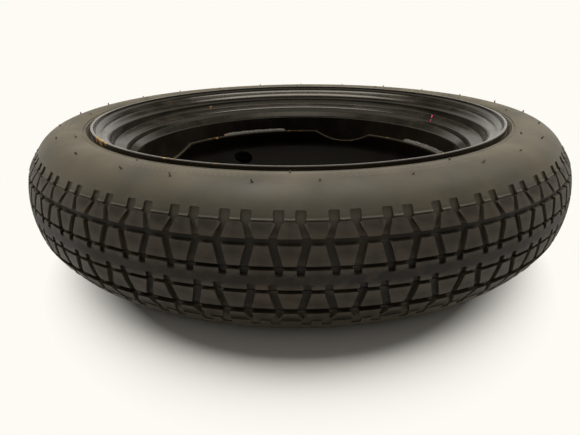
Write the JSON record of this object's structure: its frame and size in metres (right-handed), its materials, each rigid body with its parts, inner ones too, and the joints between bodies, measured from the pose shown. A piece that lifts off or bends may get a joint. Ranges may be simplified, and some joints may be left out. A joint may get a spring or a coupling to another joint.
{
  "type": "space saver spare wheel",
  "caption": "Narrow temporary-use car spare wheel: steel rim with a low-profile zigzag-tread tyre, bolted disc with bolt holes and valve, lying flat hub side up.",
  "frame": {"origin": "centre of the wheel: on its axis, in the middle plane of the rim and tyre", "axes": "+Z along the wheel's axis towards the hub (car) side, which faces up as the wheel lies; +X and +Y lie in the middle plane, -Y towards the viewer of the picture"},
  "size_m": [0.6068, 0.6068, 0.1248],
  "materials": {
    "tyre_rubber": "satin black-brown rubber",
    "black_paint": "glossy black paint on steel",
    "valve_rubber": "matt black rubber",
    "valve_brass": "plain turned brass",
    "red_seal": "smooth red sealing ring",
    "spring_steel": "bright spring wire",
    "cap_plastic": "matt black moulded plastic"
  },
  "bodies": {
    "wheel": {"tyre": "tyre_rubber", "rim": "black_paint", "wheel_disc": "black_paint", "disc_welds": "black_paint", "valve_body": "valve_rubber", "valve_stem": "valve_brass", "valve_core_body": "valve_brass", "valve_core_gasket": "red_seal", "valve_spring": "spring_steel"},
    "core_pin": {"valve_pin": "valve_brass", "valve_pin_seal": "valve_rubber"},
    "cap": {"valve_cap": "cap_plastic", "valve_cap_seal": "valve_rubber"}
  },
  "joints": [
    {"name": "core_pin_press", "type": "slide", "parent": "wheel", "child": "core_pin", "axis": [-0.2182, -0.54, 0.8129], "range_m": [0, 0.0015], "stiffness_N_per_m": 1500, "springref_m": -0.0005, "deforming": ["valve_spring"]},
    {"name": "cap_lift", "type": "slide", "parent": "wheel", "child": "cap", "axis": [0.2182, 0.54, -0.8129], "range_m": [0, 0.0105]}
  ]
}
